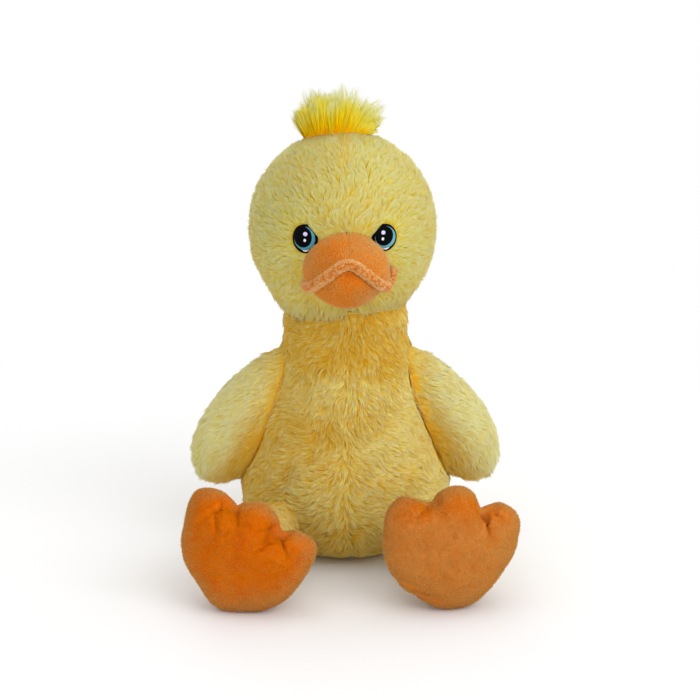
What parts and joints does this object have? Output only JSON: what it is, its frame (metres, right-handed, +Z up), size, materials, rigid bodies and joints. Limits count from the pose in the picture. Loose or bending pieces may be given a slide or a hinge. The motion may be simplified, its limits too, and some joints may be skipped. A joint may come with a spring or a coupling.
{
  "type": "plush duck",
  "caption": "Seated stuffed toy duck with a round head, soft bill, hair tuft, hanging wings and upright three-toed feet.",
  "frame": {"origin": "centre of the flat of the seat, on the surface that the toy sits on, under the neck", "axes": "+Z up through the neck and crown, -Y the way the bill points, +X to the right of a viewer who faces the toy"},
  "size_m": [0.2153, 0.2485, 0.3195],
  "materials": {
    "head_plush": "long-pile plush, pale lemon",
    "body_plush": "long-pile plush, warm golden yellow",
    "wing_plush": "long-pile plush, pale yellow",
    "foot_velour": "short-pile velour, orange",
    "bill_velour": "short-pile velour, orange",
    "lip_terry": "looped piping, peach",
    "eye_thread": "satin stitch embroidery, black with teal and white",
    "tuft_hair": "long straight fibre, bright yellow",
    "seam_thread": "twisted sewing thread",
    "filling_fibre": "loose white filling fibre",
    "pellet_bag": "plastic pellets in a thin cloth bag"
  },
  "bodies": {
    "torso": {"body_skin": "body_plush", "body_fill": "filling_fibre", "pellet_bag": "pellet_bag"},
    "neck_ring": {"neck_seam": "seam_thread"},
    "head": {"head_skin": "head_plush", "head_fill": "filling_fibre", "upper_bill": "bill_velour", "lower_bill": "bill_velour", "bill_lip": "lip_terry", "eye_left": "eye_thread", "eye_right": "eye_thread", "hair_tuft": "tuft_hair"},
    "tail": {"tail_skin": "body_plush", "tail_fill": "filling_fibre"},
    "wing_left": {"wing_left_skin": "wing_plush", "wing_left_fill": "filling_fibre"},
    "leg_left": {"leg_left_skin": "body_plush", "leg_left_fill": "filling_fibre"},
    "foot_left": {"foot_left_skin": "foot_velour", "foot_left_fill": "filling_fibre"},
    "wing_right": {"wing_right_skin": "wing_plush", "wing_right_fill": "filling_fibre"},
    "leg_right": {"leg_right_skin": "body_plush", "leg_right_fill": "filling_fibre"},
    "foot_right": {"foot_right_skin": "foot_velour", "foot_right_fill": "filling_fibre"}
  },
  "joints": [
    {"name": "head_nod", "type": "hinge", "parent": "torso", "child": "neck_ring", "pos_m": [0, 0, 0.159], "axis": [1, 0, 0], "range_deg": [-12, 12], "stiffness_Nm_per_rad": 0.8},
    {"name": "head_turn", "type": "hinge", "parent": "neck_ring", "child": "head", "pos_m": [0, 0, 0.159], "axis": [0, 0, 1], "range_deg": [-35, 35], "stiffness_Nm_per_rad": 0.3},
    {"name": "wing_left_raise", "type": "hinge", "parent": "torso", "child": "wing_left", "pos_m": [-0.04421, -0.0078, 0.14], "axis": [-0.1736, 0.9848, 0], "range_deg": [0, 70]},
    {"name": "leg_left_swing", "type": "hinge", "parent": "torso", "child": "leg_left", "pos_m": [-0.05391, -0.06657, 0.03], "axis": [1, 0, 0], "range_deg": [-30, 60]},
    {"name": "foot_left_twist", "type": "hinge", "parent": "leg_left", "child": "foot_left", "pos_m": [-0.06485, -0.12861, 0.039], "axis": [-0.1719, -0.9749, 0.1414], "range_deg": [-20, 20], "stiffness_Nm_per_rad": 0.1},
    {"name": "wing_right_raise", "type": "hinge", "parent": "torso", "child": "wing_right", "pos_m": [0.04421, -0.0078, 0.14], "axis": [-0.1736, -0.9848, 0], "range_deg": [0, 70]},
    {"name": "leg_right_swing", "type": "hinge", "parent": "torso", "child": "leg_right", "pos_m": [0.05391, -0.06657, 0.03], "axis": [1, 0, 0], "range_deg": [-30, 60]},
    {"name": "foot_right_twist", "type": "hinge", "parent": "leg_right", "child": "foot_right", "pos_m": [0.06485, -0.12861, 0.039], "axis": [0.1719, -0.9749, 0.1414], "range_deg": [-20, 20], "stiffness_Nm_per_rad": 0.1},
    {"name": "tail_lift", "type": "hinge", "parent": "torso", "child": "tail", "pos_m": [0, 0.07111, 0.054], "axis": [1, 0, 0], "range_deg": [0, 30]}
  ]
}
